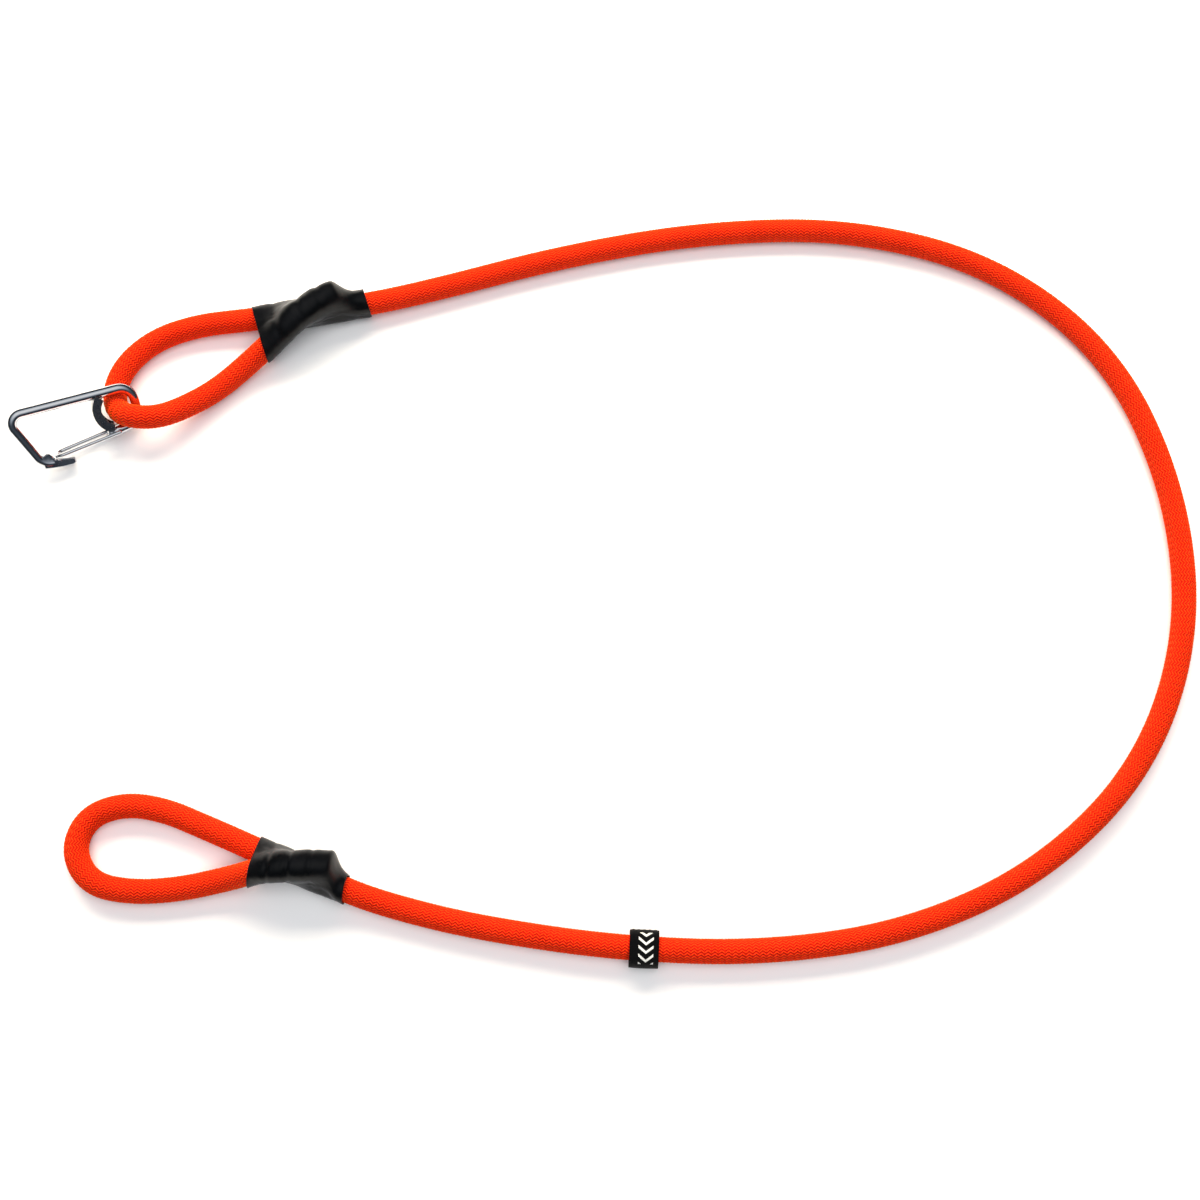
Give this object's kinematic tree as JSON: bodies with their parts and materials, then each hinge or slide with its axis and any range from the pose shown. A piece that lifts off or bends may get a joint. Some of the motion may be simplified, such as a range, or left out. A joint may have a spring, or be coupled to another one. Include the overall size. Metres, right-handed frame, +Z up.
{
  "type": "rope tether",
  "caption": "Short braided rope tether lying in a C, an eye under a shrink sleeve at each end, one eye holding a captive wire-gate carabiner.",
  "frame": {"origin": "on the table under the middle of the whole tether as it lies", "axes": "+Z up; +X from the eyes towards the bend of the rope; +Y from the plain eye towards the eye with the carabiner"},
  "size_m": [0.5731, 0.3732, 0.0285],
  "materials": {
    "rope_cover": "bright orange-red braided polyester cover",
    "rope_core": "white twisted nylon core yarns",
    "rope_end": "melted and set rope end",
    "sleeve": "satin black heat-shrink tube",
    "clamp": "plain stainless band",
    "label_tape": "black woven tape",
    "label_thread": "black sewing thread",
    "polished_steel": "polished stainless steel",
    "thimble_steel": "dark pressed stainless steel",
    "gate_wire": "drawn stainless spring wire"
  },
  "bodies": {
    "rope": {"rope_main_sheath": "rope_cover", "rope_main_core": "rope_core", "eye_a_sheath": "rope_cover", "eye_a_core": "rope_core", "eye_b_sheath": "rope_cover", "eye_b_core": "rope_core", "tail_tip_a": "rope_end", "tail_tip_b": "rope_end", "sleeve_a": "sleeve", "sleeve_b": "sleeve", "clamp_a1": "clamp", "clamp_a2": "clamp", "clamp_b1": "clamp", "clamp_b2": "clamp"},
    "label": {"label_band": "label_tape", "label_stitches": "label_thread"},
    "carabiner": {"carabiner_body": "polished_steel", "carabiner_thimble": "thimble_steel"},
    "gate": {"carabiner_gate": "gate_wire"}
  },
  "joints": [
    {"name": "label_slide", "type": "slide", "parent": "rope", "child": "label", "axis": [0.999, -0.0436, 0], "range_m": [-0.008, 0.008]},
    {"name": "carabiner_swing", "type": "hinge", "parent": "rope", "child": "carabiner", "pos_m": [-0.23329, 0.08161, 0.00891], "axis": [-0.2893, 0.8223, -0.49], "range_deg": [0, 20]},
    {"name": "gate_hinge", "type": "hinge", "parent": "carabiner", "child": "gate", "pos_m": [-0.23443, 0.0742, 0.00489], "axis": [-0.3409, 0.5417, -0.7683], "range_deg": [0, 30], "stiffness_Nm_per_rad": 0.03, "springref_deg": -20.05}
  ]
}
